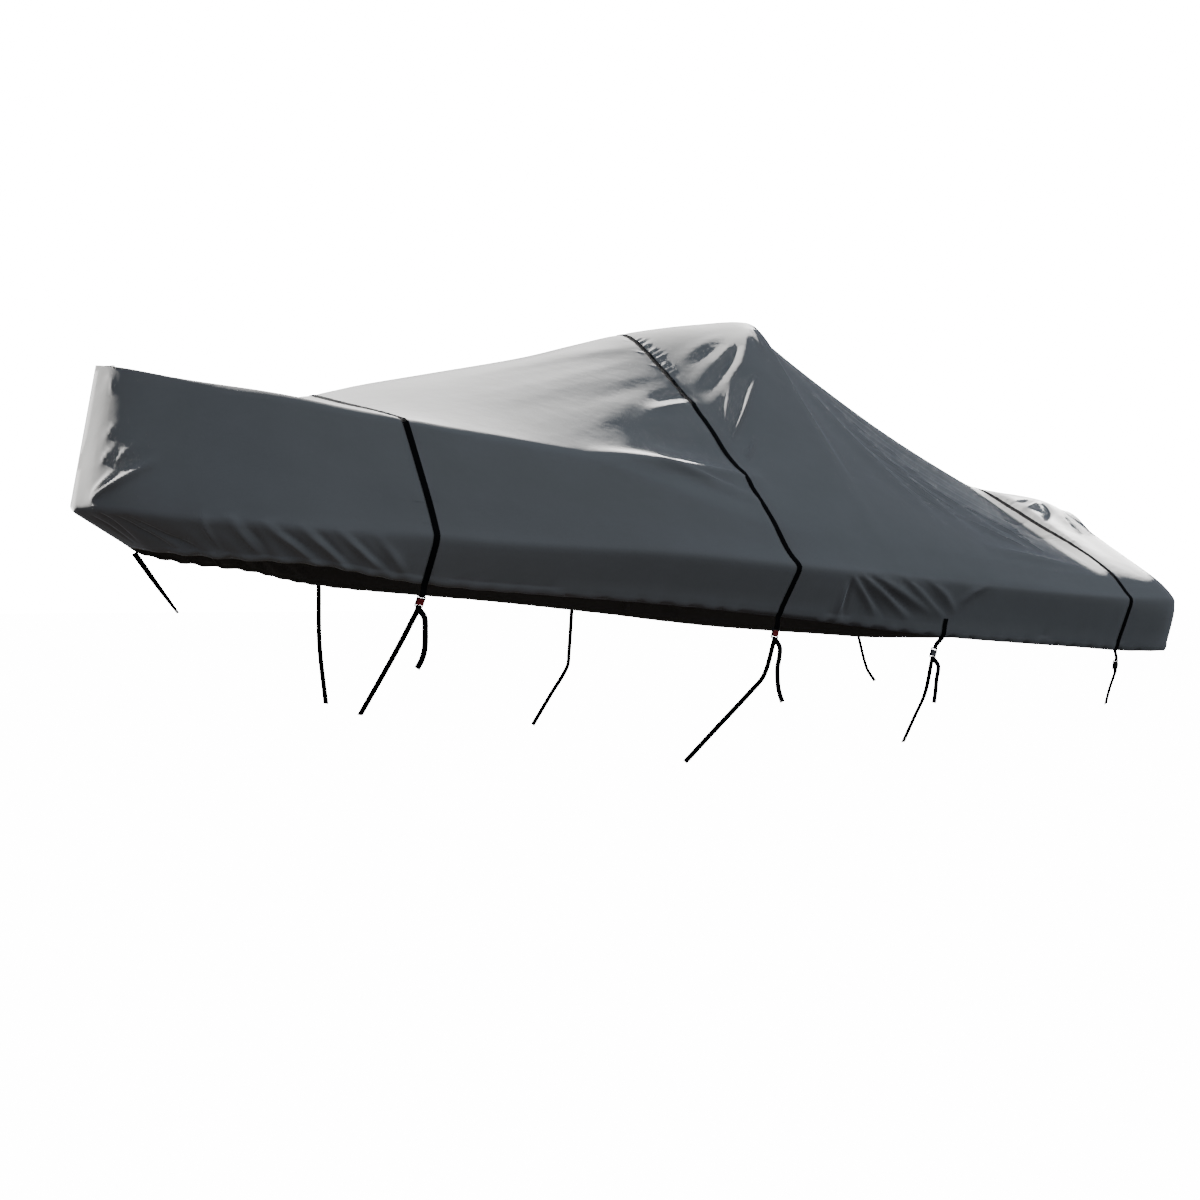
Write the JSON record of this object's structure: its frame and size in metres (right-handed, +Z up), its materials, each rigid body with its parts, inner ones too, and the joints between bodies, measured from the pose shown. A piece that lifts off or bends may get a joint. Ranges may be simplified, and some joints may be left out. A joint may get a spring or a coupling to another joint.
{
  "type": "boat cover",
  "caption": "Fitted grey fabric boat cover peaked like a tent, hollow underneath, held down by black webbing straps with buckles.",
  "frame": {"origin": "the mount under the cover's peak, on the inside of the cloth", "axes": "+X aft along the cover, bow towards -X; -Y to port, the side with the buckles; +Z up"},
  "size_m": [5.93, 2.306, 2.2466],
  "materials": {
    "cover_cloth": "woven, matt",
    "webbing": "woven webbing",
    "buckle": "moulded"
  },
  "bodies": {
    "root": {"cover_shell": "cover_cloth", "strap_front": "webbing", "strap_middle": "webbing", "strap_quarter": "webbing", "strap_stern": "webbing", "strap_bow": "webbing", "strap_front_foot": "webbing", "strap_middle_foot": "webbing", "strap_quarter_foot": "webbing", "strap_stern_foot": "webbing", "tail_front": "webbing", "tail_middle": "webbing", "tail_quarter": "webbing", "buckle_front": "buckle", "buckle_middle": "buckle", "buckle_quarter": "buckle", "buckle_stern": "buckle"}
  },
  "joints": []
}
